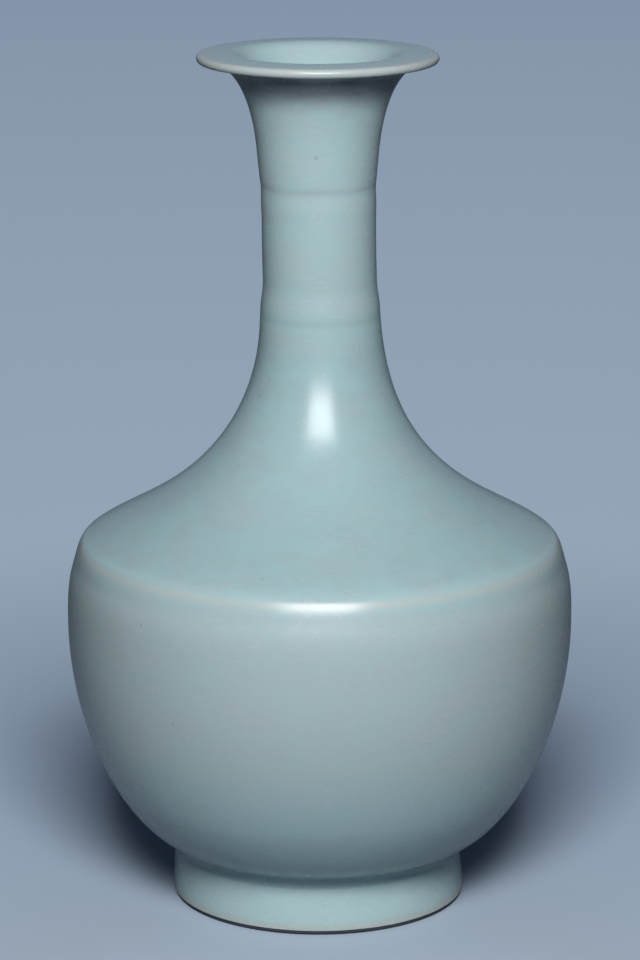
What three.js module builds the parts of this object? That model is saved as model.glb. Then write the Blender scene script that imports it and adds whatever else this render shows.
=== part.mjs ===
// A long-necked stoneware bottle vase with a wide lip, two string lines and a ridged shoulder.
// It is thrown in five sections that are luted together with slip, then glazed and fired.
// Millimetres, +Z up. The origin is on the axis, in the plane of the tread that the vase stands on.
import * as THREE from "three";

// Heights of the sections, measured along the axis over the glaze
const footHeight = 16.1; // tread to the crease under the belly
const bellyRise = 64.9; // crease to the widest level
const ridgeRise = 21.8; // widest level to the ridge
const shoulderRise = 63.9; // ridge to the lower string line
const neckRise = 36.4; // lower string line to the upper one
const mouthRise = 36.9; // upper string line to the top of the lip

// Outside radii over the glaze
const footRadius = 41.15; // at the tread
const footTaper = 0.8; // the foot is narrower by this at the crease
const bellyRadius = 70.55;
const ridgeSetback = 3; // ridge inside the widest radius
const neckRadius = 15.7; // the tube between the string lines
const rootFlare = 1.3; // shoulder's top edge outside the tube
const rootSwell = 0.95; // tube's lower end outside its own middle
const collarProud = 1.05; // mouth section outside the tube at the upper line
const crestRadius = 24.4; // the lip's highest ring
const lipReach = 8.7; // lip's edge outside its highest ring
const lipDroop = 0.45; // top of the lip's edge below that ring
const lipThickness = 3; // at its rounded edge

// Wall thicknesses of the clay
const treadWidth = 4.9;
const floorThickness = 6.2;
const bellyWall = 5;
const shoulderWall = 3.9;
const neckWall = 3.2;
const recessDepth = 11; // tread to the underside of the floor
const floorFlat = 24; // flat part of the floor inside
const treadBevel = 0.5;

// Heights over which the outside changes near a joint
const creaseRun = 2; // the foot ring's side stays straight up to this far below the crease
const rootDrop = 1; // the shoulder's sweep ends this far below the lower line
const lineRun = 2; // the tube has its full radius this far from a line
const swellTop = 12; // the tube's lower swell dies out this far above the lower line
const stepTaper = 4.5; // the collar runs in to the upper line over this height
const collarHalf = 0.35; // half-way up that taper the collar is narrower by this

// Glaze and slip
const coat = 0.7; // glaze outside
const edgeCoat = 0.3; // glaze where it runs thin, on the ridge and the lip
const creasePool = 0.5; // extra glaze pooled in the crease above the foot
const linePool = 0.2; // extra glaze pooled in the string lines
const lineDepth = 0.1; // string lines below the tube
const innerCoat = 0.5; // glaze inside and under the foot
const bareFoot = 1.2; // height of bare clay above the tread
const slipFilm = 0.5; // thickness of the luting slip
const slipBead = 0.9; // slip squeezed out inside a joint
const scarfDrop = 1.8; // a joint's inner end below its outer end

// Directions and fullness of the curves: angles in degrees, handles in millimetres
const underBellyAngle = 17.5;
const underBellyHandle = 14.1;
const bellyLowHandle = 31.3;
const bellyHighHandle = 14.1;
const ridgeBelowAngle = 12.5; // from upright, just below the ridge
const ridgeBelowHandle = 7.9;
const ridgeAboveAngle = 45; // from level, just above the ridge
const ridgeAboveHandle = 8.8;
const ridgeLegBelow = 3.5; // the ridge's rounding starts this far below it
const ridgeLegAbove = 3; // and ends this far above it
const neckSweepHandle = 41.9;
const flareHandle = 20.2;
const lipAngle = 17; // underside of the lip falls outwards by this
const lipHandle = 9.2;
const brimRadius = 4.7; // rounding from the lip's highest ring down into the mouth
const brimTurn = 50; // how far it has turned where the coats outside and inside meet
const throatHandle = 15;
const throatReach = 6;

// How finely the shape is cut
const facetsAround = 28;
const underBellySteps = 9;
const overBellySteps = 4;
const shoulderSteps = 10;
const flareSteps = 6;
const lipSteps = 4;
const brimSteps = 2;
const throatSteps = 5;
const ridgeShares = [0.2, 0.8]; // places of the ridge's extra points on its rounding
const mitreLimit = 0.6;

// Levels and radii that follow from the sizes above
const bellyLevel = footHeight + bellyRise;
const ridgeLevel = bellyLevel + ridgeRise;
const lowerLine = ridgeLevel + shoulderRise;
const upperLine = lowerLine + neckRise;
const topLevel = upperLine + mouthRise;
const creaseRadius = footRadius - footTaper;
const ridgeRadius = bellyRadius - ridgeSetback;
const rootRadius = neckRadius + rootFlare;
const collarRadius = neckRadius + collarProud;
const halfFilm = slipFilm / 2;
const halfThinned = (coat + edgeCoat) / 2;

// A point of the glazed surface, with the depth of glaze under it.
function glazed(r, z, depth = coat) {
  const point = new THREE.Vector2(r, z);
  point.depth = depth;
  return point;
}

// A vector from an angle above level, in degrees.
function heading(degrees, length) {
  const angle = THREE.MathUtils.degToRad(degrees);
  return new THREE.Vector2(Math.cos(angle), Math.sin(angle)).multiplyScalar(length);
}

// Points of a curve from start to end, whose handles say how it leaves the one and reaches the other.
function sweep(start, leaving, reaching, end, steps) {
  const handles = [start.clone().add(leaving), end.clone().add(reaching)];
  const curve = new THREE.CubicBezierCurve(start, ...handles, end);
  return curve.getPoints(steps).map((p) => glazed(p.x, p.y));
}

// Points of an arc about a centre, from one angle to another in degrees.
function arc(centre, radius, from, to, steps, depth) {
  return Array.from({ length: steps + 1 }, (_, i) => {
    const p = centre.clone().add(heading(from + ((to - from) * i) / steps, radius));
    return glazed(p.x, p.y, depth);
  });
}

// Moves each point of a line to the left of its run by its own depth, with mitred corners.
function inset(line, depthAt = (p) => p.depth) {
  return line.map((p, i) => {
    const before = line[Math.max(i - 1, 0)];
    const after = line[Math.min(i + 1, line.length - 1)];
    const arriving = (i > 0 ? p.clone().sub(before) : after.clone().sub(p)).normalize();
    const departing = (i < line.length - 1 ? after.clone().sub(p) : p.clone().sub(before)).normalize();
    const along = arriving.clone().add(departing).normalize();
    const mitre = 1 / Math.max(along.dot(arriving), mitreLimit);
    const shift = depthAt(p) * mitre;
    return new THREE.Vector2(p.x - along.y * shift, p.y + along.x * shift);
  });
}

// The glazed outside, one run of points for each clay section, from the foot up to the opening
const footSide = [
  glazed(footRadius, bareFoot),
  glazed(creaseRadius, footHeight - creaseRun),
  glazed(creaseRadius + creasePool / 2, footHeight - halfFilm, coat + creasePool),
];

const crease = new THREE.Vector2(creaseRadius, footHeight);
const belly = new THREE.Vector2(bellyRadius, bellyLevel);
const ridge = new THREE.Vector2(ridgeRadius, ridgeLevel);
const bellyLow = sweep(
  crease,
  heading(underBellyAngle, underBellyHandle),
  new THREE.Vector2(0, -bellyLowHandle),
  belly,
  underBellySteps,
);
const bellyHigh = sweep(
  belly,
  new THREE.Vector2(0, bellyHighHandle),
  heading(ridgeBelowAngle - 90, ridgeBelowHandle),
  ridge,
  overBellySteps,
);

// The ridge is a soft angle. Its rounding runs from a point below the ridge to one above.
const ridgeFrom = ridge.clone().add(heading(ridgeBelowAngle - 90, ridgeLegBelow));
const ridgeTo = ridge.clone().add(heading(180 - ridgeAboveAngle, ridgeLegAbove));
const ridgeRounding = new THREE.QuadraticBezierCurve(ridgeFrom, ridge, ridgeTo);
const filmShare = halfFilm / (ridgeLegBelow + ridgeLegAbove);
function onRidge(share) {
  const p = ridgeRounding.getPoint(share);
  return glazed(p.x, p.y, edgeCoat);
}

const bodySide = [
  glazed(creaseRadius + creasePool, footHeight + halfFilm, coat + creasePool),
  ...bellyLow.slice(1),
  ...bellyHigh.slice(1, -1),
  glazed(ridgeFrom.x, ridgeFrom.y, halfThinned),
  onRidge(ridgeShares[0]),
  onRidge(1 / 2 - filmShare),
];

const root = new THREE.Vector2(rootRadius, lowerLine - rootDrop);
const shoulderSweep = sweep(
  ridge,
  heading(180 - ridgeAboveAngle, ridgeAboveHandle),
  new THREE.Vector2(0, -neckSweepHandle),
  root,
  shoulderSteps,
);
const shoulderSide = [
  onRidge(1 / 2 + filmShare),
  onRidge(ridgeShares[1]),
  glazed(ridgeTo.x, ridgeTo.y, halfThinned),
  ...shoulderSweep.slice(2),
  glazed(neckRadius + rootSwell - lineDepth, lowerLine - halfFilm, coat + linePool),
];

const neckSide = [
  glazed(neckRadius + rootSwell - lineDepth, lowerLine + halfFilm, coat + linePool),
  glazed(neckRadius + rootSwell, lowerLine + lineRun),
  glazed(neckRadius + rootSwell / 2, lowerLine + swellTop / 2),
  glazed(neckRadius, lowerLine + swellTop),
  glazed(neckRadius, upperLine - lineRun),
  glazed(neckRadius - lineDepth, upperLine - halfFilm, coat + linePool),
];

// The lip: a rounded edge, a top that rises gently to its highest ring, and a brim that turns down inside
const lipRound = lipThickness / 2;
const lipCentre = new THREE.Vector2(crestRadius + lipReach - lipRound, topLevel - lipDroop - lipRound);
const lipSlope = THREE.MathUtils.radToDeg(Math.atan2(2 * lipDroop, lipCentre.x - crestRadius));
const lipEdge = arc(lipCentre, lipRound, -90 - lipAngle, 90 - lipSlope, lipSteps, edgeCoat);
const collarTop = new THREE.Vector2(collarRadius, upperLine + stepTaper);
const flare = sweep(
  collarTop,
  new THREE.Vector2(0, flareHandle),
  heading(180 - lipAngle, lipHandle),
  lipEdge[0],
  flareSteps,
);
const brimCentre = new THREE.Vector2(crestRadius, topLevel - brimRadius);
const brim = arc(brimCentre, brimRadius, 90, 90 + brimTurn, brimSteps, innerCoat);
const mouthSide = [
  glazed(neckRadius - lineDepth, upperLine + halfFilm, coat + linePool),
  glazed(collarRadius - collarHalf, upperLine + stepTaper / 2),
  ...flare.slice(0, -1),
  ...lipEdge,
  ...brim,
];

const glazeLine = [...footSide, ...bodySide, ...shoulderSide, ...neckSide, ...mouthSide];
const clayLine = inset(glazeLine);

// The clay under each run of the glazed outside
let taken = 0;
function clayUnder(run) {
  const part = clayLine.slice(taken, taken + run.length);
  taken += run.length;
  return part;
}
const footClay = clayUnder(footSide);
const bodyClay = clayUnder(bodySide);
const shoulderClay = clayUnder(shoulderSide);
const neckClay = clayUnder(neckSide);
const mouthClay = clayUnder(mouthSide);

// Both sides of a slip film where it meets the inner wall, scarfDrop below its outer end.
function innerSeam(radius, level) {
  return {
    below: new THREE.Vector2(radius, level - scarfDrop - halfFilm),
    bead: new THREE.Vector2(radius - slipBead, level - scarfDrop),
    above: new THREE.Vector2(radius, level - scarfDrop + halfFilm),
  };
}
const ridgeSeam = innerSeam(ridgeRadius - edgeCoat - (bellyWall + shoulderWall) / 2, ridgeLevel);
const bore = neckRadius - coat - neckWall;
const rootSeam = innerSeam(bore, lowerLine);
const mouthSeam = innerSeam(bore, upperLine);

// The clay's inner wall: the outside sampled more coarsely and set in by the wall
const floorLevel = recessDepth + floorThickness;
const bellyIn = inset(
  [...bellyLow.filter((_, i) => i % 2 === 1), ...bellyHigh.slice(2, 3)],
  () => coat + bellyWall,
);
const shoulderIn = inset(
  shoulderSweep.filter((_, i) => i % 2 === 1).slice(1),
  () => coat + shoulderWall,
);
const bodyInner = [
  new THREE.Vector2(0, floorLevel),
  new THREE.Vector2(floorFlat, floorLevel),
  ...bellyIn,
  ridgeSeam.below,
];
const shoulderInner = [ridgeSeam.above, ...shoulderIn, rootSeam.below];
const neckInner = [rootSeam.above, mouthSeam.below];
const throat = sweep(
  new THREE.Vector2(bore, upperLine + stepTaper),
  new THREE.Vector2(0, throatHandle),
  heading(180 + brimTurn, throatReach),
  mouthClay.at(-1),
  throatSteps,
);
const mouthInner = [mouthSeam.above, ...throat];

// The glaze inside follows the whole inner wall, beads too, up to the edge of the opening
const innerClay = [
  ...bodyInner,
  ridgeSeam.bead,
  ...shoulderInner,
  rootSeam.bead,
  ...neckInner,
  mouthSeam.bead,
  ...mouthInner,
];
const innerGlaze = [...inset(innerClay, () => innerCoat).slice(0, -1), glazeLine.at(-1)];

// The underside: a recess inside the foot ring, whose wall ends in a bare bevelled tread
const treadOuter = footClay[0].x - treadBevel;
const treadInner = treadOuter - treadWidth;
const recessRadius = treadInner - treadBevel;
const recessClay = [
  new THREE.Vector2(0, recessDepth),
  new THREE.Vector2(recessRadius, recessDepth),
  new THREE.Vector2(recessRadius, recessDepth - slipFilm),
  new THREE.Vector2(recessRadius, bareFoot + treadBevel),
];
const recessGlaze = inset(recessClay, () => -innerCoat);

// Turns a closed outline about the vertical axis. Each quad is split along the same diagonal whichever way
// the outline runs, so that two pieces that share a surface share its triangles too.
function turned(outline) {
  const geometry = new THREE.LatheGeometry(outline, facetsAround);
  const rows = outline.length;
  const index = [];
  for (let side = 0; side < facetsAround; side++)
    for (let row = 0; row < rows - 1; row++) {
      const low = side * rows + row;
      const [high, lowNext, highNext] = [low + 1, low + rows, low + rows + 1];
      const rising = outline[row + 1].y - outline[row].y || outline[row + 1].x - outline[row].x;
      if (rising > 0) index.push(low, lowNext, highNext, low, highNext, high);
      else index.push(low, lowNext, high, lowNext, highNext, high);
    }
  geometry.setIndex(index);
  return geometry.rotateX(Math.PI / 2);
}

function ringOf(...runs) {
  const outline = runs.flat();
  return turned([...outline, outline[0].clone()]);
}

function discOf(...runs) {
  return turned(runs.flat());
}

const downwards = (run) => [...run].reverse();

// Slip between two sections, from their outside edges to their inner ones.
function slipRing(lower, upper, seam) {
  return ringOf([lower.at(-1), upper[0], seam.above, seam.bead, seam.below]);
}

// Finishes: fired body, burnt bare foot, slip and glaze
const stoneware = new THREE.MeshStandardMaterial({ color: "#b9a58c", roughness: 0.85, metalness: 0 });
const burntStoneware = new THREE.MeshStandardMaterial({ color: "#5b4438", roughness: 0.9, metalness: 0 });
const firedSlip = new THREE.MeshStandardMaterial({ color: "#c9b9a2", roughness: 0.9, metalness: 0 });
const blueGreenGlaze = new THREE.MeshStandardMaterial({ color: "#a3bec3", roughness: 0.28, metalness: 0 });

const vase = new THREE.Group();
function add(name, geometry, material) {
  const piece = new THREE.Mesh(geometry, material.clone());
  piece.name = name;
  vase.add(piece);
}

add(
  "foot_ring",
  ringOf(
    [
      new THREE.Vector2(treadInner, 0),
      new THREE.Vector2(treadOuter, 0),
      new THREE.Vector2(footClay[0].x, treadBevel),
    ],
    footClay,
    recessClay.slice(2),
    new THREE.Vector2(recessRadius, treadBevel),
  ),
  burntStoneware,
);
add(
  "foot_luting_slip",
  ringOf([footClay.at(-1), bodyClay[0], recessClay[1], recessClay[2]]),
  firedSlip,
);
add("lower_body", discOf(recessClay.slice(0, 2), bodyClay, downwards(bodyInner)), stoneware);
add("ridge_luting_slip", slipRing(bodyClay, shoulderClay, ridgeSeam), firedSlip);
add("shoulder_dome", ringOf(shoulderClay, downwards(shoulderInner)), stoneware);
add("neck_root_luting_slip", slipRing(shoulderClay, neckClay, rootSeam), firedSlip);
add("neck_tube", ringOf(neckClay, downwards(neckInner)), stoneware);
add("mouth_luting_slip", slipRing(neckClay, mouthClay, mouthSeam), firedSlip);
add("mouth_rim", ringOf(mouthClay, downwards(mouthInner.slice(0, -1))), stoneware);
add("glaze_outside", ringOf(glazeLine, downwards(clayLine)), blueGreenGlaze);
add("glaze_inside", discOf(innerClay, downwards(innerGlaze)), blueGreenGlaze);
add("glaze_under_foot", discOf(recessGlaze, downwards(recessClay)), blueGreenGlaze);

export default vase;
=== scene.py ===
import math

import bmesh
import bpy
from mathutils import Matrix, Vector, kdtree


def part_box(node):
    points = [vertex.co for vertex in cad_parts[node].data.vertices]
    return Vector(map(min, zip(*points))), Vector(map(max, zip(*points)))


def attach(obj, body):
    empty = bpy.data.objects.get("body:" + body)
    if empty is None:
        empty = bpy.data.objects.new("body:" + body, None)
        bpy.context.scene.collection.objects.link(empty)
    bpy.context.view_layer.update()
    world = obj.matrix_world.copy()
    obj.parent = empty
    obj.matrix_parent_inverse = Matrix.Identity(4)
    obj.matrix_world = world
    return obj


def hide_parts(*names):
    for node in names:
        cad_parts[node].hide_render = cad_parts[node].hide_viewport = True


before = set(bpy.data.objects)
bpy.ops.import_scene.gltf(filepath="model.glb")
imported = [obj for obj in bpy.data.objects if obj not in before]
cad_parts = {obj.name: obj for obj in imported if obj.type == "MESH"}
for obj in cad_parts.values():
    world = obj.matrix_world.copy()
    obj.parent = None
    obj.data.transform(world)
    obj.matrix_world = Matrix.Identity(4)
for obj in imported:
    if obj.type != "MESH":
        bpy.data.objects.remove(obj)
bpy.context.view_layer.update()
mm = 0.001


def linearColour(code):  # "#rrggbb" as a screen shows it, to the linear values that shaders take
    parts = [int(code[i:i + 2], 16) / 255 for i in (1, 3, 5)]
    return [p / 12.92 if p <= 0.04045 else ((p + 0.055) / 1.055) ** 2.4 for p in parts] + [1]


# A node with its settings and its inputs, each a value or the output that feeds it. A Mix of colours
# takes them at 6 and 7 and gives its own at output 2.
def addNode(tree, kind, settings=None, inputs=None):
    node = tree.nodes.new(kind)
    for name, value in (settings or {}).items():
        setattr(node, name, value)
    for name, value in (inputs or {}).items():
        socket = node.inputs[name]
        if isinstance(value, bpy.types.NodeSocket):
            tree.links.new(value, socket)
        else:
            socket.default_value = value
    return node


# Camera: a little above the lip, looking down on the vase through a long lens
photoView = {
    "place": (0.0001, -1.158, 0.4139),
    "tilt": 75.73,  # degrees from straight down
    "focal": 160.9,
    "sensor": 36,
}


def makeCamera():
    bpy.ops.object.camera_add(
        location=photoView["place"], rotation=(math.radians(photoView["tilt"]), 0, 0)
    )
    camera = bpy.context.object
    camera.name = "photoCamera"
    camera.data.lens = photoView["focal"]
    camera.data.sensor_width = photoView["sensor"]
    bpy.context.scene.camera = camera


# Studio: a soft box above the front of the vase, a white screen in front of it that only shows as a
# reflection in the glaze, a dim room, and a pale paper floor that fades into the backdrop
studio = {
    "floorSize": 20.0,
    "paperRoughness": 0.9,
    "paperGloss": 0.1,
    "paperNear": "#b0bfcf",
    "paperSidePaintedLight": "#c8e0fa",  # painted light: the same sheet, paler towards the sides and the back
    "sideCentre": (0, -0.12, 0),
    "sideFrom": 0.1,
    "sideTo": 0.25,
    "paperMiddle": "#94a5b7",
    "paperFar": "#8393a9",
    "farFrom": 0.11,  # metres from the vase, where the lit paper starts to fade into the backdrop
    "farTo": 0.4,
    "horizon": 1.9,
    "room": "#b8c4f4",
    "roomStrength": 0.036,
    "boxPlace": (0.01, -0.69, 0.565),
    "boxWidth": 0.3,
    "boxLength": 0.27,
    "boxTilt": 34,  # degrees towards the vase, from straight down
    "boxPower": 7.65,
    "screenPlace": (0.01, -0.695, 0.549),
    "screenWidth": 0.46,
    "screenLength": 0.38,
    "screenTilt": 45,
    "screenPower": 6.2,
    "bounce": 0.37,  # how much of its light the paper gives back to the vase
    "floorSheen": 0.6,  # how much of the lit paper shows in the glaze
    "sheen": 0.25,  # of the backdrop beyond it
    "wallSheen": 1.0,  # and of the wall above that
}


def makePaper():
    paper = bpy.data.materials.new("seamlessPaper")
    paper.use_nodes = True
    tree = paper.node_tree
    shader = tree.nodes["Principled BSDF"]
    shader.inputs["Roughness"].default_value = studio["paperRoughness"]
    shader.inputs["Specular IOR Level"].default_value = studio["paperGloss"]
    place = addNode(tree, "ShaderNodeTexCoord").outputs["Object"]
    seen = addNode(tree, "ShaderNodeLightPath")

    # the lit sheet around the vase: its full tone, less of it in the glaze, and least as bounce
    # painted light: the sheet turns paler towards the sides and the back
    aside = addNode(tree, "ShaderNodeVectorMath", {"operation": "DISTANCE"}, {
        0: place, 1: studio["sideCentre"]})
    side = addNode(tree, "ShaderNodeMapRange", None, {
        "Value": aside.outputs["Value"],
        "From Min": studio["sideFrom"], "From Max": studio["sideTo"]})
    lit = addNode(tree, "ShaderNodeMix", {"data_type": "RGBA"}, {
        "Factor": side.outputs["Result"],
        6: linearColour(studio["paperNear"]), 7: linearColour(studio["paperSidePaintedLight"])})
    direct = addNode(tree, "ShaderNodeMath", {"operation": "MULTIPLY_ADD"}, {
        0: seen.outputs["Is Glossy Ray"], 1: studio["floorSheen"],
        2: seen.outputs["Is Camera Ray"]})
    dimmed = [part * studio["bounce"] for part in linearColour(studio["paperNear"])[:3]] + [1]
    sheet = addNode(tree, "ShaderNodeMix", {"data_type": "RGBA"}, {
        "Factor": direct.outputs["Value"], 6: dimmed, 7: lit.outputs[2]})
    tree.links.new(sheet.outputs[2], shader.inputs["Base Color"])

    # the backdrop that it fades into: an unlit glow, whose darkening with distance is painted light
    far = addNode(tree, "ShaderNodeVectorMath", {"operation": "LENGTH"}, {0: place})
    fade = addNode(tree, "ShaderNodeMapRange", {"interpolation_type": "SMOOTHSTEP"}, {
        "Value": far.outputs["Value"],
        "From Min": studio["farFrom"], "From Max": studio["farTo"]})
    depth = addNode(tree, "ShaderNodeMapRange", None, {
        "Value": far.outputs["Value"],
        "From Min": studio["farTo"], "From Max": studio["horizon"]})
    tone = addNode(tree, "ShaderNodeMix", {"data_type": "RGBA"}, {
        "Factor": depth.outputs["Result"],
        6: linearColour(studio["paperMiddle"]), 7: linearColour(studio["paperFar"])})
    backdrop = addNode(tree, "ShaderNodeEmission", None, {"Color": tone.outputs[2]})
    unlit = addNode(tree, "ShaderNodeBsdfDiffuse", None, {"Color": (0, 0, 0, 1)})
    faint = addNode(tree, "ShaderNodeMath", {"operation": "MULTIPLY_ADD"}, {
        0: seen.outputs["Is Glossy Ray"], 1: studio["sheen"],
        2: seen.outputs["Is Camera Ray"]})
    beyond = addNode(tree, "ShaderNodeMixShader", None, {
        0: faint.outputs["Value"], 1: unlit.outputs["BSDF"], 2: backdrop.outputs["Emission"]})
    mixed = addNode(tree, "ShaderNodeMixShader", None, {
        0: fade.outputs["Result"], 1: shader.outputs["BSDF"], 2: beyond.outputs["Shader"]})
    tree.links.new(mixed.outputs["Shader"], tree.nodes["Material Output"].inputs["Surface"])
    return paper


def makeStudio():
    bpy.ops.mesh.primitive_plane_add(size=studio["floorSize"], location=(0, 0, 0))
    floor = bpy.context.object
    floor.name = "paperFloor"
    floor.data.materials.append(makePaper())

    for name, part in (("softBox", "box"), ("whiteScreen", "screen")):
        tilt = math.radians(studio[part + "Tilt"])
        bpy.ops.object.light_add(
            type="AREA", location=studio[part + "Place"], rotation=(tilt, 0, 0)
        )
        lamp = bpy.context.object
        lamp.name = name
        lamp.data.shape = "RECTANGLE"
        lamp.data.size = studio[part + "Width"]
        lamp.data.size_y = studio[part + "Length"]
        lamp.data.energy = studio[part + "Power"]
        lamp.visible_camera = False
        lamp.visible_glossy = part == "screen"
        lamp.visible_diffuse = part == "box"

    world = bpy.data.worlds.new("dimRoom")
    world.use_nodes = True
    tree = world.node_tree
    room = tree.nodes["Background"]
    room.inputs["Color"].default_value = linearColour(studio["room"])
    room.inputs["Strength"].default_value = studio["roomStrength"]
    wall = addNode(tree, "ShaderNodeBackground", None, {
        "Color": linearColour(studio["paperFar"])})
    seen = addNode(tree, "ShaderNodeLightPath")
    shown = addNode(tree, "ShaderNodeMath", {"operation": "MULTIPLY_ADD"}, {
        0: seen.outputs["Is Glossy Ray"], 1: studio["wallSheen"],
        2: seen.outputs["Is Camera Ray"]})
    mixed = addNode(tree, "ShaderNodeMixShader", None, {
        0: shown.outputs["Value"], 1: room.outputs["Background"],
        2: wall.outputs["Background"]})
    tree.links.new(mixed.outputs["Shader"], tree.nodes["World Output"].inputs["Surface"])
    bpy.context.scene.world = world


makeCamera()
makeStudio()
bpy.context.scene.view_settings.view_transform = "Standard"
print("camera and studio ready")


# The outline over the glaze, drawn from the foot up. A point is (radius, height, glaze depth) in
# millimetres, and so are all sizes from here to the materials. The glaze depth also carries painted
# shade under the lip, in the low belly and around the crease.
glazeCoat = {
    "coat": 0.7,
    "footEdge": 1.35,  # bare clay below this height
    "edgeShare": 0.4,  # of the coat, at that edge
    "edgeRate": 2.5,  # how fast it thickens above it
    "creasePool": 0.18,  # more of it in the crease above the foot, spread wide around it as painted shade
    "creaseWidth": 6.5,
    "lowShade": 0.14,  # painted shade in the low belly around it
    "lowShadeFrom": 38.0,
    "lowShadeFade": 8.0,
    "ridge": 0.34,  # it drew away from the ridge
    "ridgeDrop": 0.3,
    "ridgeWidth": 1.9,
    "shoulder": 0.82,  # it ran down onto the shoulder and lies thickest there
    "shoulderFade": 12.0,
    "linePool": 0.1,  # in the string lines
    "lipShade": 0.5,  # and, as painted shade, under the lip
    "lipShadeDrop": 7.0,
    "lipShadeWidth": 5.0,
    "thin": 0.3,  # on the lip
    "inside": 0.5,
    "insideTone": 0.66,  # the depth that colours the coats inside and under the foot
}


def heading(degrees, length):
    return Vector((math.cos(math.radians(degrees)), math.sin(math.radians(degrees)))) * length


def sweep(start, leaving, reaching, end, steps, depth=glazeCoat["coat"]):
    handles = (start, start + leaving, end + reaching, end)
    line = []
    for i in range(steps + 1):
        t = i / steps
        weights = ((1 - t) ** 3, 3 * t * (1 - t) ** 2, 3 * t * t * (1 - t), t ** 3)
        p = sum((h * w for h, w in zip(handles, weights)), Vector((0, 0)))
        line.append(Vector((p.x, p.y, depth)))
    return line


def soften(before, after, steps, depth):  # rounds the corner where two lines would meet
    a, b = before[-1].xy, after[0].xy
    leaving, arriving = (a - before[-2].xy).normalized(), (b - after[1].xy).normalized()
    turn = leaving.cross(arriving)
    corner = a + leaving * ((b - a).cross(arriving) / turn)
    line = []
    for i in range(1, steps):
        t = i / steps
        p = a * (1 - t) ** 2 + corner * 2 * t * (1 - t) + b * t * t
        line.append(Vector((p.x, p.y, depth)))
    return line


def arc(centre, radius, start, stop, steps, depth):
    line = []
    for i in range(steps + 1):
        p = centre + heading(start + (stop - start) * i / steps, radius)
        line.append(Vector((p.x, p.y, depth)))
    return line


def ease(t):
    t = min(max(t, 0), 1)
    return t * t * (3 - 2 * t)


def hump(distance, width):
    return math.exp(-(distance / width) ** 2)


sharpest = 0.6  # a corner sharper than this isn't followed to its point


def inset(line, depth=None):  # to the left of its run, by depth or by each point's own glaze
    moved = []
    for i, p in enumerate(line):
        before, after = line[max(i - 1, 0)].xy, line[min(i + 1, len(line) - 1)].xy
        arriving = (p.xy - before if i > 0 else after - p.xy).normalized()
        leaving = (after - p.xy if i < len(line) - 1 else p.xy - before).normalized()
        along = (arriving + leaving).normalized()
        shift = (p.z if depth is None else depth) / max(along.dot(arriving), sharpest)
        moved.append(Vector((p.x - along.y * shift, p.y + along.x * shift, p.z)))
    return moved


# Foot ring, nearly upright, with a soft crease where the belly starts
foot = {
    "radius": 41.0,
    "taper": 0.65,
    "taperRate": 0.9,
    "height": 16.1,
    "steps": 10,
    "crease": 3.2,
    "bevel": 0.5,
    "tread": 4.9,
    "recess": 11.0,
    "recessRound": 2.5,
}
creaseRadius = foot["radius"] - foot["taper"]
creasePoint = Vector((creaseRadius, foot["height"]))


def footRun():
    low, high = glazeCoat["footEdge"], foot["height"] - foot["crease"]
    edge = glazeCoat["edgeShare"]
    line = []
    for i in range(foot["steps"] + 1):
        t = i / foot["steps"]
        r = foot["radius"] - foot["taper"] * ease(t * foot["taperRate"])
        depth = glazeCoat["coat"] * (edge + (1 - edge) * ease(t * glazeCoat["edgeRate"]))
        line.append(Vector((r, low + (high - low) * t, depth)))
    return line


# Bowl from the crease to the ridge
bowl = {
    "clear": 0.01,  # kept inside the CAD solid's box
    "rise": 64.9,
    "leaves": 14.6,  # degrees above level
    "lowHandle": 14.5,
    "fullness": 33.2,
    "highHandle": 14.1,
    "wall": 5.0,
    "floor": 6.2,
    "flat": 24.0,
}
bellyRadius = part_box("glaze_outside")[1].x / mm - bowl["clear"]
bellyLevel = foot["height"] + bowl["rise"]

# Ridge: a soft angle, not an edge
ridge = {
    "rise": 21.0,
    "setback": 3.0,
    "below": 8.2,  # degrees off upright, on its lower side
    "belowHandle": 7.9,
    "above": 45.0,  # degrees above level, on its upper side
    "aboveHandle": 13.4,
    "legBelow": 3.3,  # how far from its corner the rounding starts
    "legAbove": 2.3,
}
ridgeLevel = bellyLevel + ridge["rise"]
ridgeCorner = Vector((bellyRadius - ridge["setback"], ridgeLevel))

# Shoulder, sweeping up into the neck
shoulder = {
    "rise": 64.7,
    "flare": 0.97,  # more than the neck's radius, where it ends
    "under": 1.2,  # it ends this far below the lower string line
    "lean": 2.8,
    "handle": 47.1,
    "wall": 3.9,
}
lowerLine = ridgeLevel + shoulder["rise"]

# Neck tube between the two string lines
neck = {
    "radius": 15.7,
    "rise": 36.4,
    "under": 1.0,  # it starts this far below the lower line
    "steps": 90,
    "swell": 0.85,
    "rootFade": 3.0,
    "swellFrom": 0.8,
    "swellTop": 8.8,
    "lineDepth": 0.07,
    "lineWidth": 1.0,
    "band": 0.12,  # a faint swelling under the upper line
    "bandDrop": 5.0,
    "bandWidth": 3.0,
    "wall": 3.2,
}
upperLine = lowerLine + neck["rise"]

# Trumpet mouth with a wide lip that droops a little
mouth = {
    "clear": 0.25,  # kept under the top of the CAD solid's box, for the lip's tilt
    "proud": 1.1,
    "taper": 10.0,
    "starts": 1.7,  # below the upper line
    "leaves": 84.3,  # degrees above level
    "flareHandle": 22.2,
    "flareSteps": 40,
    "droops": 17.0,  # degrees, underside of the lip
    "lipHandle": 3.95,
    "thins": 5.0,  # how far in from the rounded edge the glaze starts to thin
    "crest": 24.4,  # radius of its highest ring
    "reach": 8.7,  # from there to the lip's edge
    "falls": 0.38,
    "roll": 1.25,  # radius of the rounded edge
    "thickens": 5,  # steps over which the glaze thickens again on top
    "edgeTurn": 50.0,  # how far the inside has turned down where the two coats meet
    "edgeRadius": 4.7,
    "throatHandle": 15.0,
    "throatReach": 6.0,
}
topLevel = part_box("glaze_outside")[1].z / mm - mouth["clear"]


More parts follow.
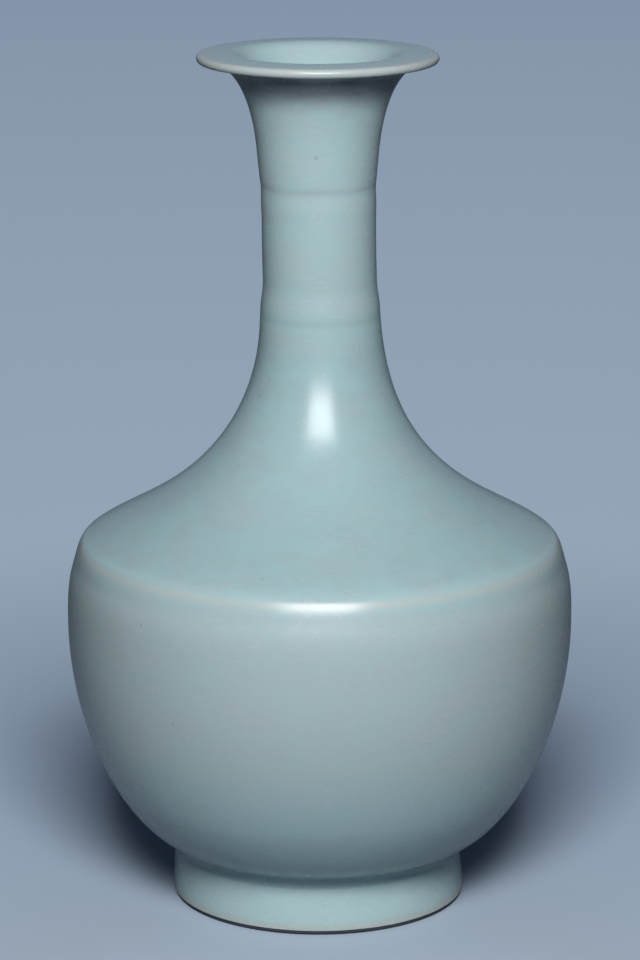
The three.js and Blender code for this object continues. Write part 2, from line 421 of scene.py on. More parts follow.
def bellyRun():
    belly = Vector((bellyRadius, bellyLevel))
    low = sweep(creasePoint, heading(bowl["leaves"], bowl["lowHandle"]),
                Vector((0, -bowl["fullness"])), belly, steps=52)
    high = sweep(belly, Vector((0, bowl["highHandle"])),
                 heading(ridge["below"] - 90, ridge["belowHandle"]), ridgeCorner, steps=26)
    low = [p for p in low if (p.xy - creasePoint).length > foot["crease"]]
    return low + [p for p in high[1:] if (p.xy - ridgeCorner).length > ridge["legBelow"]]


def shoulderRun():
    root = Vector((neck["radius"] + shoulder["flare"], lowerLine - shoulder["under"]))
    line = sweep(ridgeCorner, heading(180 - ridge["above"], ridge["aboveHandle"]),
                 heading(shoulder["lean"] - 90, shoulder["handle"]), root, steps=72)
    return [p for p in line if (p.xy - ridgeCorner).length > ridge["legAbove"]]


def neckRun():
    low, high = lowerLine - neck["under"], upperLine + mouth["taper"]
    collarRise = mouth["taper"] + mouth["starts"]
    line = []
    for i in range(neck["steps"] + 1):
        z = low + (high - low) * i / neck["steps"]
        settled = ease((z - low) / neck["rootFade"])
        swell = shoulder["flare"] + (neck["swell"] - shoulder["flare"]) * settled
        swell *= 1 - ease((z - lowerLine - neck["swellFrom"]) / neck["swellTop"])
        collar = mouth["proud"] * max(z - upperLine + mouth["starts"], 0) / collarRise
        groove = hump(z - lowerLine, neck["lineWidth"]) + hump(z - upperLine, neck["lineWidth"])
        band = neck["band"] * hump(z - upperLine + neck["bandDrop"], neck["bandWidth"])
        r = neck["radius"] + swell + collar + band - neck["lineDepth"] * groove
        line.append(Vector((r, z, glazeCoat["coat"] + glazeCoat["linePool"] * groove)))
    return line


def mouthRun():
    roll, thin = mouth["roll"], glazeCoat["thin"]
    collar = Vector((neck["radius"] + mouth["proud"], upperLine + mouth["taper"]))
    crest = Vector((mouth["crest"], topLevel))
    centre = Vector((mouth["crest"] + mouth["reach"] - roll, topLevel - mouth["falls"] - roll))
    slope = math.degrees(math.atan2(2 * mouth["falls"], centre.x - crest.x))
    edge = arc(centre, roll, -90 - mouth["droops"], 90 - slope, steps=16, depth=thin)
    flare = sweep(collar, heading(mouth["leaves"], mouth["flareHandle"]),
                  heading(180 - mouth["droops"], mouth["lipHandle"]), edge[0].xy,
                  steps=mouth["flareSteps"])
    reach = (edge[-1].x - crest.x) / 3
    top = sweep(edge[-1].xy, heading(180 - slope, reach), Vector((reach, 0)), crest, steps=9)
    turnedIn = arc(crest - Vector((0, mouth["edgeRadius"])), mouth["edgeRadius"],
                   90, 90 + mouth["edgeTurn"], steps=8, depth=glazeCoat["inside"])
    for p in flare:
        p.z += (thin - p.z) * ease((p.x - centre.x + mouth["thins"]) / mouth["thins"])
    for i, p in enumerate(top):
        p.z = thin + (glazeCoat["coat"] - thin) * ease(i / mouth["thickens"])
    return flare[1:-1] + edge + top[1:] + turnedIn[1:]


footSide, bellySide, shoulderSide = footRun(), bellyRun(), shoulderRun()
neckSide, mouthSide = neckRun(), mouthRun()
creaseDepthAndShade = glazeCoat["coat"] + glazeCoat["creasePool"]
creaseSide = soften(footSide, bellySide, steps=8, depth=creaseDepthAndShade)
ridgeSide = soften(bellySide, shoulderSide, steps=12, depth=glazeCoat["coat"])
glazeLine = footSide + creaseSide + bellySide + ridgeSide + shoulderSide + neckSide + mouthSide
for p in shoulderSide:
    p.z += (glazeCoat["shoulder"] - p.z) * ease((lowerLine - p.y) / glazeCoat["shoulderFade"])
# painted shade: the glaze deepens in the low belly, which darkens it
for p in bellySide:
    p.z += glazeCoat["lowShade"] * ease((glazeCoat["lowShadeFrom"] - p.y) / glazeCoat["lowShadeFade"])
# painted shade: the glaze deepens under the lip, which darkens it there
for p in mouthSide[:mouth["flareSteps"]]:
    fromLip = p.y - topLevel + glazeCoat["lipShadeDrop"]
    p.z += glazeCoat["lipShade"] * hump(fromLip, glazeCoat["lipShadeWidth"])
for p in glazeLine:
    fromRidge = p.y - ridgeLevel + glazeCoat["ridgeDrop"]
    fromCrease = (p.xy - creasePoint).length
    p.z += (glazeCoat["ridge"] - p.z) * hump(fromRidge, glazeCoat["ridgeWidth"])
    # real pooling in the crease, spread wide as painted shade
    p.z += glazeCoat["creasePool"] * hump(fromCrease, glazeCoat["creaseWidth"])
clayLine = inset(glazeLine)
clayLine = clayLine[:-1:2] + clayLine[-1:]  # the clay under it does with half as many points
print("profile drawn:", len(glazeLine), "points")


# Where the five sections were luted together: a film of slip, with a bead squeezed out inside
slip = {"film": 0.5, "bead": 0.9, "drop": 1.8}
halfFilm = slip["film"] / 2
bore = neck["radius"] - glazeCoat["coat"] - neck["wall"]


def seamAt(radius, level):
    level -= slip["drop"]
    return {
        "below": Vector((radius, level - halfFilm, 0)),
        "bead": Vector((radius - slip["bead"], level, 0)),
        "above": Vector((radius, level + halfFilm, 0)),
    }


def between(line, low, high):  # the part of a line between two heights, cut exactly there
    part = []
    for p, q in zip(line, line[1:]):
        for level in (low, high):
            if (p.y - level) * (q.y - level) < 0:
                part.append(p.lerp(q, (level - p.y) / (q.y - p.y)))
        if low <= q.y <= high:
            part.append(q)
    return part


ridgeWall = (bowl["wall"] + shoulder["wall"]) / 2
ridgeSeam = seamAt(ridgeCorner.x - glazeCoat["thin"] - ridgeWall, ridgeLevel)
rootSeam = seamAt(bore, lowerLine)
mouthSeam = seamAt(bore, upperLine)

# The clay's inner side: it follows the outer one more loosely, because hardly any of it shows
inner = {
    "every": 4,  # it takes each fourth point
    "bowlFrom": 5,
    "domeFrom": 3,
    "underRidge": 1.5,  # clear of the seams
    "overRidge": 2.0,
    "underLine": 3.0,
    "cornerRun": 7.0,  # the round between the floor and the wall
    "cornerRise": 8.0,
}
floorLevel = foot["recess"] + bowl["floor"]
bellyWall = inset(bellySide[inner["bowlFrom"]::inner["every"]], glazeCoat["coat"] + bowl["wall"])
bellyWall = [p for p in bellyWall if p.y < ridgeSeam["below"].y - inner["underRidge"]]
domeLow = ridgeSeam["above"].y + inner["overRidge"]
domeHigh = rootSeam["below"].y - inner["underLine"]
domeWall = inset(shoulderSide[inner["domeFrom"]::inner["every"]],
                 glazeCoat["coat"] + shoulder["wall"])
domeWall = [p for p in domeWall if domeLow < p.y < domeHigh]
cornerRise = (bellyWall[0].xy - bellyWall[1].xy).normalized() * inner["cornerRise"]
bowlInside = sweep(Vector((bowl["flat"], floorLevel)), Vector((inner["cornerRun"], 0)),
                   cornerRise, bellyWall[0].xy, steps=10)[:-1]
bowlInside = [Vector((0, floorLevel, 0))] + bowlInside + bellyWall + [ridgeSeam["below"]]
domeInside = [ridgeSeam["above"]] + domeWall + [rootSeam["below"]]
tubeInside = [rootSeam["above"], mouthSeam["below"]]
throat = sweep(Vector((bore, upperLine + mouth["taper"])), Vector((0, mouth["throatHandle"])),
               heading(180 + mouth["edgeTurn"], mouth["throatReach"]), clayLine[-1].xy, steps=26)
rimInside = [mouthSeam["above"]] + throat
innerClay = bowlInside + [ridgeSeam["bead"]] + domeInside + [rootSeam["bead"]] + tubeInside
innerClay += [mouthSeam["bead"]] + rimInside
innerGlaze = inset(innerClay, glazeCoat["inside"])[:-1] + [glazeLine[-1]]

# The recess under the foot
treadOuter = clayLine[0].x - foot["bevel"]
treadInner = treadOuter - foot["tread"]
recessRadius = treadInner - foot["bevel"]
recessClay = [Vector((x, y, 0)) for x, y in (
    (0, foot["recess"]),
    (recessRadius, foot["recess"]),
    (recessRadius, foot["recess"] - slip["film"]),
    (recessRadius, glazeCoat["footEdge"] + foot["bevel"]),
)]
recessCorner = Vector((recessRadius - glazeCoat["inside"], foot["recess"] - glazeCoat["inside"]))
recessCorner -= Vector((foot["recessRound"], foot["recessRound"]))
recessGlaze = [Vector((0, foot["recess"] - glazeCoat["inside"], 0))]
recessGlaze += arc(recessCorner, foot["recessRound"], 90, 0, steps=6, depth=glazeCoat["inside"])
recessGlaze += [Vector((recessRadius - glazeCoat["inside"], recessClay[-1].y, 0))]

# The outer clay, cut into its five sections and the four films of slip between them
seamLevels = [foot["height"], ridgeLevel, lowerLine, upperLine]
footClay, bowlClay, domeClay, tubeClay, rimClay = [
    between(clayLine, low + halfFilm, high - halfFilm)
    for low, high in zip([0] + seamLevels, seamLevels + [math.inf])]
films = [between(clayLine, level - halfFilm, level + halfFilm) for level in seamLevels]

# A thrown pot never stands quite true: how far each height has drifted, and the lip's tilt
drift = {
    "levels": (0, 13, 20, 45, 125, 155, 170, 190, 210, 245),
    "right": (-0.25, -0.7, 0.1, 0, 0, 0.35, 0.15, -0.2, -0.45, -0.5),
    "lipTilt": 0.78,  # degrees, higher in front
    "tiltFrom": 200.0,
    "tiltTo": 234.0,
}


def drifted(place):
    z = place.z / mm
    levels, right = drift["levels"], drift["right"]
    for i in range(len(levels) - 1):
        if levels[i] <= z <= levels[i + 1]:
            share = ease((z - levels[i]) / (levels[i + 1] - levels[i]))
            place.x += (right[i] + (right[i + 1] - right[i]) * share) * mm
            break
    share = ease((z - drift["tiltFrom"]) / (drift["tiltTo"] - drift["tiltFrom"]))
    place.z -= math.tan(math.radians(drift["lipTilt"])) * share * (place.y + mouth["crest"] * mm)
    return place


turning = {"around": 144, "weld": 0.002, "smoothAngle": 38}


def turnPiece(name, outline, closed=True):
    corners = [Vector((p.x, 0, p.y)) * mm for p in outline]
    bpy.ops.object.select_all(action="DESELECT")
    bpy.ops.mesh.primitive_plane_add(size=mm, location=corners[0])
    piece = bpy.context.object
    piece.name = piece.data.name = name
    bpy.ops.object.transform_apply(location=True, rotation=True, scale=True)
    bpy.ops.object.mode_set(mode="EDIT")
    bpy.ops.mesh.select_all(action="SELECT")
    bpy.ops.mesh.merge(type="CENTER")
    for here, there in zip(corners, corners[1:]):
        bpy.ops.mesh.extrude_region_move(TRANSFORM_OT_translate={"value": there - here})
    if closed:  # joins the two ends of the outline
        mesh = bmesh.from_edit_mesh(piece.data)
        for vert in mesh.verts:
            vert.select_set(len(vert.link_edges) == 1)
        mesh.select_flush_mode()
        bmesh.update_edit_mesh(piece.data)
        bpy.ops.mesh.edge_face_add()
    bpy.ops.mesh.select_all(action="SELECT")
    bpy.ops.mesh.spin(steps=turning["around"], angle=math.tau, center=(0, 0, 0), axis=(0, 0, 1))
    bpy.ops.mesh.select_all(action="SELECT")
    bpy.ops.mesh.remove_doubles(threshold=turning["weld"] * mm)
    bpy.ops.mesh.normals_make_consistent(inside=False)
    bpy.ops.object.mode_set(mode="OBJECT")
    bpy.ops.object.shade_smooth_by_angle(angle=math.radians(turning["smoothAngle"]))
    return piece


depthTree = kdtree.KDTree(len(glazeLine))
for i, p in enumerate(glazeLine):
    depthTree.insert((p.x, p.y, 0), i)
depthTree.balance()


def markDepthAndShade(piece, even=None):  # how thick the glaze lies, with its painted shade, for the material
    depths = piece.data.attributes.new("glazeDepthAndShade", "FLOAT", "POINT")
    for vert in piece.data.vertices:
        x, y, z = vert.co / mm
        nearest = depthTree.find((math.hypot(x, y), z, 0))[1]
        depths.data[vert.index].value = even or glazeLine[nearest].z


def slipPiece(name, film, seam):
    return turnPiece(name, film + [seam["above"], seam["bead"], seam["below"]])


treadLine = [Vector((x, y, 0)) for x, y in (
    (recessRadius, foot["bevel"]), (treadInner, 0), (treadOuter, 0),
    (clayLine[0].x, foot["bevel"]),
)]
footRing = turnPiece("footRing", treadLine + [clayLine[0]] + footClay + recessClay[2:])
footSlip = turnPiece("footSlip", films[0] + recessClay[1:3])
lowerBody = turnPiece("lowerBody", recessClay[:2] + bowlClay + bowlInside[::-1], closed=False)
ridgeSlip = slipPiece("ridgeSlip", films[1], ridgeSeam)
shoulderDome = turnPiece("shoulderDome", domeClay + domeInside[::-1])
neckRootSlip = slipPiece("neckRootSlip", films[2], rootSeam)
neckTube = turnPiece("neckTube", tubeClay + tubeInside[::-1])
mouthSlip = slipPiece("mouthSlip", films[3], mouthSeam)
mouthRim = turnPiece("mouthRim", rimClay + rimInside[-2::-1])
print("clay sections and slip turned")

glazeOutside = turnPiece("glazeCoatOutside", glazeLine + clayLine[::-1])
markDepthAndShade(glazeOutside)
glazeInside = turnPiece("glazeCoatInside", innerClay + innerGlaze[::-1], closed=False)
markDepthAndShade(glazeInside, glazeCoat["insideTone"])
glazeUnder = turnPiece("glazeCoatUnderFoot", recessGlaze + recessClay[::-1], closed=False)
markDepthAndShade(glazeUnder, glazeCoat["insideTone"])
print("glaze coats turned")


def grain(size):  # texture scale for a feature of this size in millimetres
    return 1 / (size * mm)


def startMaterial(name, settings):
    material = bpy.data.materials.new(name)
    material.use_nodes = True
    shader = material.node_tree.nodes["Principled BSDF"]
    for socket, value in settings.items():
        shader.inputs[socket].default_value = value
    return material, material.node_tree, shader


# Celadon: a dipped, wood-fired feldspar glaze. It is thick and satin, clouds softly between two
# blue-greens, runs thin and pale over edges, pools deeper in creases, and has a faint fine crackle.
# Its pooled colours also serve as painted shade under the lip, in the low belly and around the
# crease.
celadon = {
    "blueGreen": "#9fbfc2",
    "greyGreen": "#a5bbbf",
    "cloud": 15.0,  # sizes of the pattern in millimetres
    "cloudDetail": 2.0,
    "blotch": 5.0,
    "blotchTwist": 0.4,
    "lying": (0.75, 0.75, 1.3),  # the clouds lie flat, drawn out around the pot
    "ring": 3.2,  # throwing rings
    "ringLying": (0.12, 0.12, 1),
    "ringShare": 0.5,
    "cloudFrom": 0.95,
    "cloudTo": 1.55,
    "bodyTone": "#abb4b6",  # below the ridge it came out greyer
    "bodyShare": 0.4,
    "bodyFrom": 1.0,  # millimetres above the ridge
    "bodyTo": 8.0,  # and below it
    "neckTone": "#b4cdd0",  # paler up the neck
    "neckShare": 0.3,
    "bellyTone": "#a0c0c9",  # cooler again towards the foot
    "bellyShare": 0.6,
    "bellyFrom": 0.8,  # of the belly's level
    "bellyTo": 0.4,
    "footPaintedLight": "#b0ccce",  # painted light: the foot paler, as the lit paper in front brightens it
    "footPaintedLightTo": 0.7,  # of the foot's height
    "ragged": 0.16,
    "tinge": "#a8bbab",  # greener where it starts to thin
    "tingeShare": 0.15,
    "tingeFrom": 0.62,  # depths of the glaze, from here to poolTo
    "tingeTo": 0.5,
    "thinFrom": 0.56,
    "thinTo": 0.3,
    "poolFrom": 0.8,
    "poolTo": 1.25,
    "thin": "#b9bdbb",
    # real pooled glaze; also painted shade in the low belly and around the crease
    "pooled": "#809da4",
    # painted shade under the lip; it also colours glaze pooled in the upper string line
    "pooledLip": "#727c86",
    "line": "#8ea5a6",
    "crackle": 4.2,
    "crackleWidth": 0.045,  # of a cell, about 0.2 mm: wider than the real one so that it shows
    "crackleShare": 0.15,
    "crackleLying": (0.8, 0.8, 1.5),
    "wander": 7.0,
    "wanderBy": 1.6,
    "patch": 24.0,
    "patchFrom": 0.35,
    "patchTo": 0.65,
    "dots": (  # colour, spacing, size and chance of each in its cell, strength
        ("#7f9494", 12.0, 0.07, 0.62, 0.5),
        ("#b9c8c6", 6.0, 0.09, 0.55, 0.4),
    ),
    "dotCore": 0.3,
    "satinFrom": 0.3,
    "satinTo": 0.7,
    "smoothest": 0.235,
    "roughest": 0.29,
    "peel": 2.2,
    "ringRelief": 1.6,
    "crackleRelief": -1.2,
    "relief": 0.03,
    "reliefStrength": 0.35,
}


def makeCeladon():
    material, tree, shader = startMaterial("celadonGlaze", {"IOR": 1.52})
    place = addNode(tree, "ShaderNodeTexCoord").outputs["Object"]
    lying = addNode(tree, "ShaderNodeVectorMath", {"operation": "MULTIPLY"}, {
        0: place, 1: celadon["lying"]})
    cloud = addNode(tree, "ShaderNodeTexNoise", None, {
        "Vector": lying.outputs["Vector"], "Scale": grain(celadon["cloud"]),
        "Detail": celadon["cloudDetail"]})
    blotch = addNode(tree, "ShaderNodeTexNoise", None, {
        "Vector": lying.outputs["Vector"], "Scale": grain(celadon["blotch"]),
        "Detail": celadon["cloudDetail"], "Distortion": celadon["blotchTwist"]})
    both = addNode(tree, "ShaderNodeMath", {"operation": "ADD"}, {
        0: cloud.outputs["Fac"], 1: blotch.outputs["Fac"]})
    flat = addNode(tree, "ShaderNodeVectorMath", {"operation": "MULTIPLY"}, {
        0: place, 1: celadon["ringLying"]})
    rings = addNode(tree, "ShaderNodeTexNoise", None, {
        "Vector": flat.outputs["Vector"], "Scale": grain(celadon["ring"]), "Detail": 1.0})
    both = addNode(tree, "ShaderNodeMath", {"operation": "MULTIPLY_ADD"}, {
        0: rings.outputs["Fac"], 1: celadon["ringShare"], 2: both.outputs["Value"]})
    share = addNode(tree, "ShaderNodeMapRange", {"interpolation_type": "SMOOTHSTEP"}, {
        "Value": both.outputs["Value"],
        "From Min": celadon["cloudFrom"], "From Max": celadon["cloudTo"]})
    tone = addNode(tree, "ShaderNodeMix", {"data_type": "RGBA"}, {
        "Factor": share.outputs["Result"],
        6: linearColour(celadon["blueGreen"]), 7: linearColour(celadon["greyGreen"])})

    # its tone by height, as the kiln left it, except the paler foot, which is painted light
    height = addNode(tree, "ShaderNodeSeparateXYZ", None, {"Vector": place}).outputs["Z"]
    below = addNode(tree, "ShaderNodeMapRange", {"interpolation_type": "SMOOTHSTEP"}, {
        "Value": height, "To Max": celadon["bodyShare"],
        "From Min": (ridgeLevel + celadon["bodyFrom"]) * mm,
        "From Max": (ridgeLevel - celadon["bodyTo"]) * mm})
    tone = addNode(tree, "ShaderNodeMix", {"data_type": "RGBA"}, {
        "Factor": below.outputs["Result"],
        6: tone.outputs[2], 7: linearColour(celadon["bodyTone"])})
    high = addNode(tree, "ShaderNodeMapRange", None, {
        "Value": height, "From Min": lowerLine * mm, "From Max": upperLine * mm})
    pale = addNode(tree, "ShaderNodeMath", {"operation": "MULTIPLY"}, {
        0: high.outputs["Result"], 1: celadon["neckShare"]})
    tone = addNode(tree, "ShaderNodeMix", {"data_type": "RGBA"}, {
        "Factor": pale.outputs["Value"],
        6: tone.outputs[2], 7: linearColour(celadon["neckTone"])})
    cool = addNode(tree, "ShaderNodeMapRange", {"interpolation_type": "SMOOTHSTEP"}, {
        "Value": height, "To Max": celadon["bellyShare"],
        "From Min": celadon["bellyFrom"] * bellyLevel * mm,
        "From Max": celadon["bellyTo"] * bellyLevel * mm})
    tone = addNode(tree, "ShaderNodeMix", {"data_type": "RGBA"}, {
        "Factor": cool.outputs["Result"],
        6: tone.outputs[2], 7: linearColour(celadon["bellyTone"])})
    # painted light: the foot turns paler, as if lit by the paper in front
    low = addNode(tree, "ShaderNodeMapRange", {"interpolation_type": "SMOOTHSTEP"}, {
        "Value": height, "From Min": foot["height"] * mm,
        "From Max": celadon["footPaintedLightTo"] * foot["height"] * mm})
    tone = addNode(tree, "ShaderNodeMix", {"data_type": "RGBA"}, {
        "Factor": low.outputs["Result"],
        6: tone.outputs[2], 7: linearColour(celadon["footPaintedLight"])})

    # glaze depth with its painted shade, broken a little so that the thin and pooled parts have
    # uneven edges
    depth = addNode(tree, "ShaderNodeAttribute", {"attribute_name": "glazeDepthAndShade"})
    ragged = addNode(tree, "ShaderNodeMath", {"operation": "MULTIPLY_ADD"}, {
        0: blotch.outputs["Fac"], 1: celadon["ragged"], 2: depth.outputs["Fac"]})
    tinge = addNode(tree, "ShaderNodeMapRange", {"interpolation_type": "SMOOTHSTEP"}, {
        "Value": ragged.outputs["Value"], "To Max": celadon["tingeShare"],
        "From Min": celadon["tingeFrom"], "From Max": celadon["tingeTo"]})
    tone = addNode(tree, "ShaderNodeMix", {"data_type": "RGBA"}, {
        "Factor": tinge.outputs["Result"],
        6: tone.outputs[2], 7: linearColour(celadon["tinge"])})
    thin = addNode(tree, "ShaderNodeMapRange", None, {
        "Value": ragged.outputs["Value"],
        "From Min": celadon["thinFrom"], "From Max": celadon["thinTo"]})
    tone = addNode(tree, "ShaderNodeMix", {"data_type": "RGBA"}, {
        "Factor": thin.outputs["Result"],
        6: tone.outputs[2], 7: linearColour(celadon["thin"])})
    # pooled colour: real pooling, and painted shade under the lip, in the low belly and at the
    # crease
    pool = addNode(tree, "ShaderNodeMapRange", None, {
        "Value": ragged.outputs["Value"],
        "From Min": celadon["poolFrom"], "From Max": celadon["poolTo"]})
    deepAndShade = addNode(tree, "ShaderNodeMix", {"data_type": "RGBA"}, {
        "Factor": high.outputs["Result"],
        6: linearColour(celadon["pooled"]), 7: linearColour(celadon["pooledLip"])})
    tone = addNode(tree, "ShaderNodeMix", {"data_type": "RGBA"}, {
        "Factor": pool.outputs["Result"], 6: tone.outputs[2], 7: deepAndShade.outputs[2]})

    # crackle, strongest in patches
    wander = addNode(tree, "ShaderNodeTexNoise", {"normalize": False}, {
        "Vector": place, "Scale": grain(celadon["wander"]), "Detail": 1.0})
    bent = addNode(tree, "ShaderNodeVectorMath", {"operation": "MULTIPLY_ADD"}, {
        0: wander.outputs["Color"], 1: [celadon["wanderBy"] * mm] * 3, 2: place})
    wide = addNode(tree, "ShaderNodeVectorMath", {"operation": "MULTIPLY"}, {
        0: bent.outputs["Vector"], 1: celadon["crackleLying"]})
    cells = addNode(tree, "ShaderNodeTexVoronoi", {"feature": "DISTANCE_TO_EDGE"}, {
        "Vector": wide.outputs["Vector"], "Scale": grain(celadon["crackle"])})
    hair = addNode(tree, "ShaderNodeMapRange", {"interpolation_type": "SMOOTHSTEP"}, {
        "Value": cells.outputs["Distance"],
        "From Min": celadon["crackleWidth"], "From Max": 0.0})
    patch = addNode(tree, "ShaderNodeTexNoise", None, {
        "Vector": place, "Scale": grain(celadon["patch"]), "Detail": 1.0})
    where = addNode(tree, "ShaderNodeMapRange", None, {
        "Value": patch.outputs["Fac"], "To Max": celadon["crackleShare"],
        "From Min": celadon["patchFrom"], "From Max": celadon["patchTo"]})
    crack = addNode(tree, "ShaderNodeMath", {"operation": "MULTIPLY"}, {
        0: hair.outputs["Result"], 1: where.outputs["Result"]})
    tone = addNode(tree, "ShaderNodeMix", {"data_type": "RGBA"}, {
        "Factor": crack.outputs["Value"],
        6: tone.outputs[2], 7: linearColour(celadon["line"])})

    # a few dark pits and pale specks
    for colour, spacing, size, chance, strength in celadon["dots"]:
        cell = addNode(tree, "ShaderNodeTexVoronoi", None, {
            "Vector": place, "Scale": grain(spacing)})
        dot = addNode(tree, "ShaderNodeMapRange", {"interpolation_type": "SMOOTHSTEP"}, {
            "Value": cell.outputs["Distance"], "To Max": strength,
            "From Min": size, "From Max": size * celadon["dotCore"]})
        draw = addNode(tree, "ShaderNodeSeparateColor", None, {"Color": cell.outputs["Color"]})
        chosen = addNode(tree, "ShaderNodeMath", {"operation": "GREATER_THAN"}, {
            0: draw.outputs["Red"], 1: chance})
        some = addNode(tree, "ShaderNodeMath", {"operation": "MULTIPLY"}, {
            0: dot.outputs["Result"], 1: chosen.outputs["Value"]})
        tone = addNode(tree, "ShaderNodeMix", {"data_type": "RGBA"}, {
            "Factor": some.outputs["Value"], 6: tone.outputs[2], 7: linearColour(colour)})
    tree.links.new(tone.outputs[2], shader.inputs["Base Color"])

    satin = addNode(tree, "ShaderNodeMapRange", None, {
        "Value": blotch.outputs["Fac"],
        "From Min": celadon["satinFrom"], "From Max": celadon["satinTo"],
        "To Min": celadon["smoothest"], "To Max": celadon["roughest"]})
    tree.links.new(satin.outputs["Result"], shader.inputs["Roughness"])

    # orange peel, the last of the throwing rings, and the crackle's hairlines
    peel = addNode(tree, "ShaderNodeTexNoise", None, {
        "Vector": place, "Scale": grain(celadon["peel"]), "Detail": 2.0})
    relief = addNode(tree, "ShaderNodeMath", {"operation": "MULTIPLY_ADD"}, {
        0: rings.outputs["Fac"], 1: celadon["ringRelief"], 2: peel.outputs["Fac"]})
    relief = addNode(tree, "ShaderNodeMath", {"operation": "MULTIPLY_ADD"}, {
        0: crack.outputs["Value"], 1: celadon["crackleRelief"], 2: relief.outputs["Value"]})
    bump = addNode(tree, "ShaderNodeBump", None, {
        "Strength": celadon["reliefStrength"], "Distance": celadon["relief"] * mm,
        "Height": relief.outputs["Value"]})
    tree.links.new(bump.outputs["Normal"], shader.inputs["Normal"])
    return material


# Stoneware: thrown and fired to an ash-grey buff, matte and slightly gritty where it is bare.
stoneware = {
    "pale": "#b9ab97",
    "dark": "#9c8c78",
    "roughness": 0.85,
    "grit": 0.8,
    "gritFrom": 0.35,
    "gritTo": 0.65,
    "relief": 0.08,
    "reliefStrength": 0.5,
}


def makeStoneware():
    material, tree, shader = startMaterial("thrownStoneware", {
        "Roughness": stoneware["roughness"], "IOR": 1.5})
    place = addNode(tree, "ShaderNodeTexCoord").outputs["Object"]
    grit = addNode(tree, "ShaderNodeTexNoise", None, {
        "Vector": place, "Scale": grain(stoneware["grit"]), "Detail": 4.0, "Roughness": 0.6})
    share = addNode(tree, "ShaderNodeMapRange", None, {
        "Value": grit.outputs["Fac"],
        "From Min": stoneware["gritFrom"], "From Max": stoneware["gritTo"]})
    tone = addNode(tree, "ShaderNodeMix", {"data_type": "RGBA"}, {
        "Factor": share.outputs["Result"],
        6: linearColour(stoneware["pale"]), 7: linearColour(stoneware["dark"])})
    tree.links.new(tone.outputs[2], shader.inputs["Base Color"])
    bump = addNode(tree, "ShaderNodeBump", None, {
        "Strength": stoneware["reliefStrength"], "Distance": stoneware["relief"] * mm,
        "Height": grit.outputs["Fac"]})
    tree.links.new(bump.outputs["Normal"], shader.inputs["Normal"])
    return material


# Burnt foot: the same clay, bare at the tread, where the fire turned its skin a dark slate grey, a
# little warmer in places. Its darkness is partly that burnt skin and partly painted contact shadow.
burntFootAndContactShade = {
    # burnt skin, darkened further as painted contact shadow
    "dark": "#2a343f",
    "warm": "#3c3f45",
    "roughness": 0.8,
    "grit": 0.7,
    "patch": 6.0,
    "patchRise": 1.5,  # millimetres by which the warmer parts climb and fall
    "warmFrom": 0.7,
    "warmTo": 2.2,
    "relief": 0.1,
    "reliefStrength": 0.6,
}


def makeBurntFootAndContactShade():
    material, tree, shader = startMaterial("burntTreadAndContactShade", {
        "Roughness": burntFootAndContactShade["roughness"], "IOR": 1.5})
    place = addNode(tree, "ShaderNodeTexCoord").outputs["Object"]
    height = addNode(tree, "ShaderNodeSeparateXYZ", None, {"Vector": place}).outputs["Z"]
    patch = addNode(tree, "ShaderNodeTexNoise", None, {
        "Vector": place, "Scale": grain(burntFootAndContactShade["patch"]), "Detail": 3.0})
    ragged = addNode(tree, "ShaderNodeMath", {"operation": "MULTIPLY_ADD"}, {
        0: patch.outputs["Fac"], 1: burntFootAndContactShade["patchRise"] * mm, 2: height})
    share = addNode(tree, "ShaderNodeMapRange", {"interpolation_type": "SMOOTHSTEP"}, {
        "Value": ragged.outputs["Value"],
        "From Min": burntFootAndContactShade["warmFrom"] * mm, "From Max": burntFootAndContactShade["warmTo"] * mm})
    tone = addNode(tree, "ShaderNodeMix", {"data_type": "RGBA"}, {
        "Factor": share.outputs["Result"],
        6: linearColour(burntFootAndContactShade["dark"]), 7: linearColour(burntFootAndContactShade["warm"])})
    tree.links.new(tone.outputs[2], shader.inputs["Base Color"])
    grit = addNode(tree, "ShaderNodeTexNoise", None, {
        "Vector": place, "Scale": grain(burntFootAndContactShade["grit"]), "Detail": 4.0, "Roughness": 0.65})
    bump = addNode(tree, "ShaderNodeBump", None, {
        "Strength": burntFootAndContactShade["reliefStrength"], "Distance": burntFootAndContactShade["relief"] * mm,
        "Height": grit.outputs["Fac"]})
    tree.links.new(bump.outputs["Normal"], shader.inputs["Normal"])
    return material


# Luting slip: the clay's finest part, brushed on wet. It fires paler and smoother than the body.
firedSlip = {
    "pale": "#cbbca6",
    "dark": "#bcab93",
    "roughness": 0.88,
    "brush": 1.6,
    "brushTwist": 0.8,
    "relief": 0.05,
    "reliefStrength": 0.3,
}


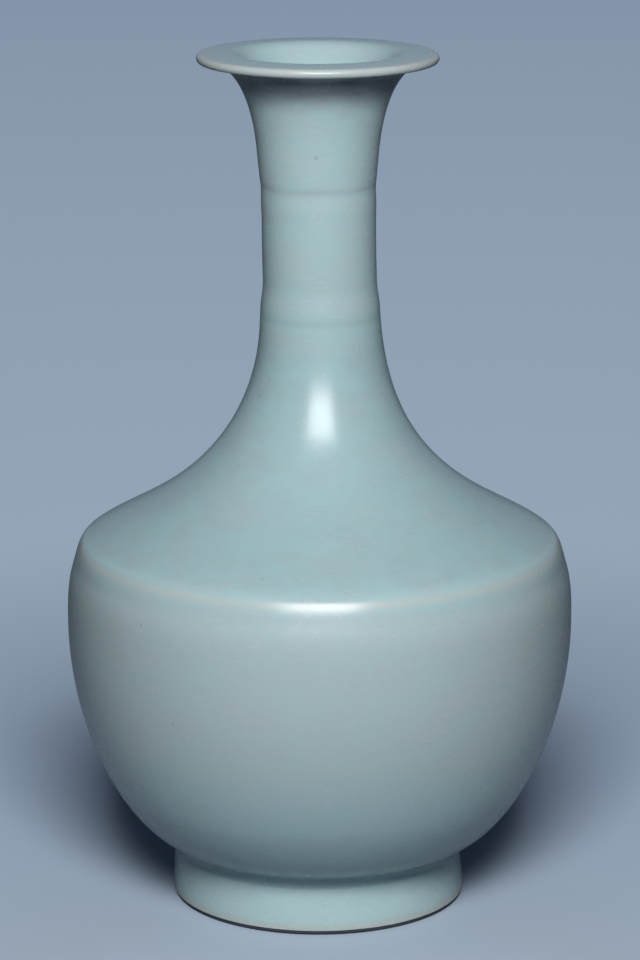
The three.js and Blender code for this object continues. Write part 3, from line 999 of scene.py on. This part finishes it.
def makeFiredSlip():
    material, tree, shader = startMaterial("firedLutingSlip", {
        "Roughness": firedSlip["roughness"], "IOR": 1.5})
    place = addNode(tree, "ShaderNodeTexCoord").outputs["Object"]
    brush = addNode(tree, "ShaderNodeTexNoise", None, {
        "Vector": place, "Scale": grain(firedSlip["brush"]), "Detail": 2.0,
        "Distortion": firedSlip["brushTwist"]})
    tone = addNode(tree, "ShaderNodeMix", {"data_type": "RGBA"}, {
        "Factor": brush.outputs["Fac"],
        6: linearColour(firedSlip["pale"]), 7: linearColour(firedSlip["dark"])})
    tree.links.new(tone.outputs[2], shader.inputs["Base Color"])
    bump = addNode(tree, "ShaderNodeBump", None, {
        "Strength": firedSlip["reliefStrength"], "Distance": firedSlip["relief"] * mm,
        "Height": brush.outputs["Fac"]})
    tree.links.new(bump.outputs["Normal"], shader.inputs["Normal"])
    return material


celadonGlaze, thrownClay = makeCeladon(), makeStoneware()
burntClayAndContactShade, lutingSlip = makeBurntFootAndContactShade(), makeFiredSlip()
for piece, node, slot, material in (
    (footRing, "foot_ring", "burnt_foot", burntClayAndContactShade),
    (footSlip, "foot_luting_slip", "luting_slip", lutingSlip),
    (lowerBody, "lower_body", "stoneware", thrownClay),
    (ridgeSlip, "ridge_luting_slip", "luting_slip", lutingSlip),
    (shoulderDome, "shoulder_dome", "stoneware", thrownClay),
    (neckRootSlip, "neck_root_luting_slip", "luting_slip", lutingSlip),
    (neckTube, "neck_tube", "stoneware", thrownClay),
    (mouthSlip, "mouth_luting_slip", "luting_slip", lutingSlip),
    (mouthRim, "mouth_rim", "stoneware", thrownClay),
    (glazeOutside, "glaze_outside", "celadon_glaze", celadonGlaze),
    (glazeInside, "glaze_inside", "celadon_glaze", celadonGlaze),
    (glazeUnder, "glaze_under_foot", "celadon_glaze", celadonGlaze),
):
    for vert in piece.data.vertices:
        vert.co = drifted(vert.co.copy())
    piece.data.update()
    piece.data.materials.append(material)
    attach(piece, "root")
    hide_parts(node)
print("pieces finished")
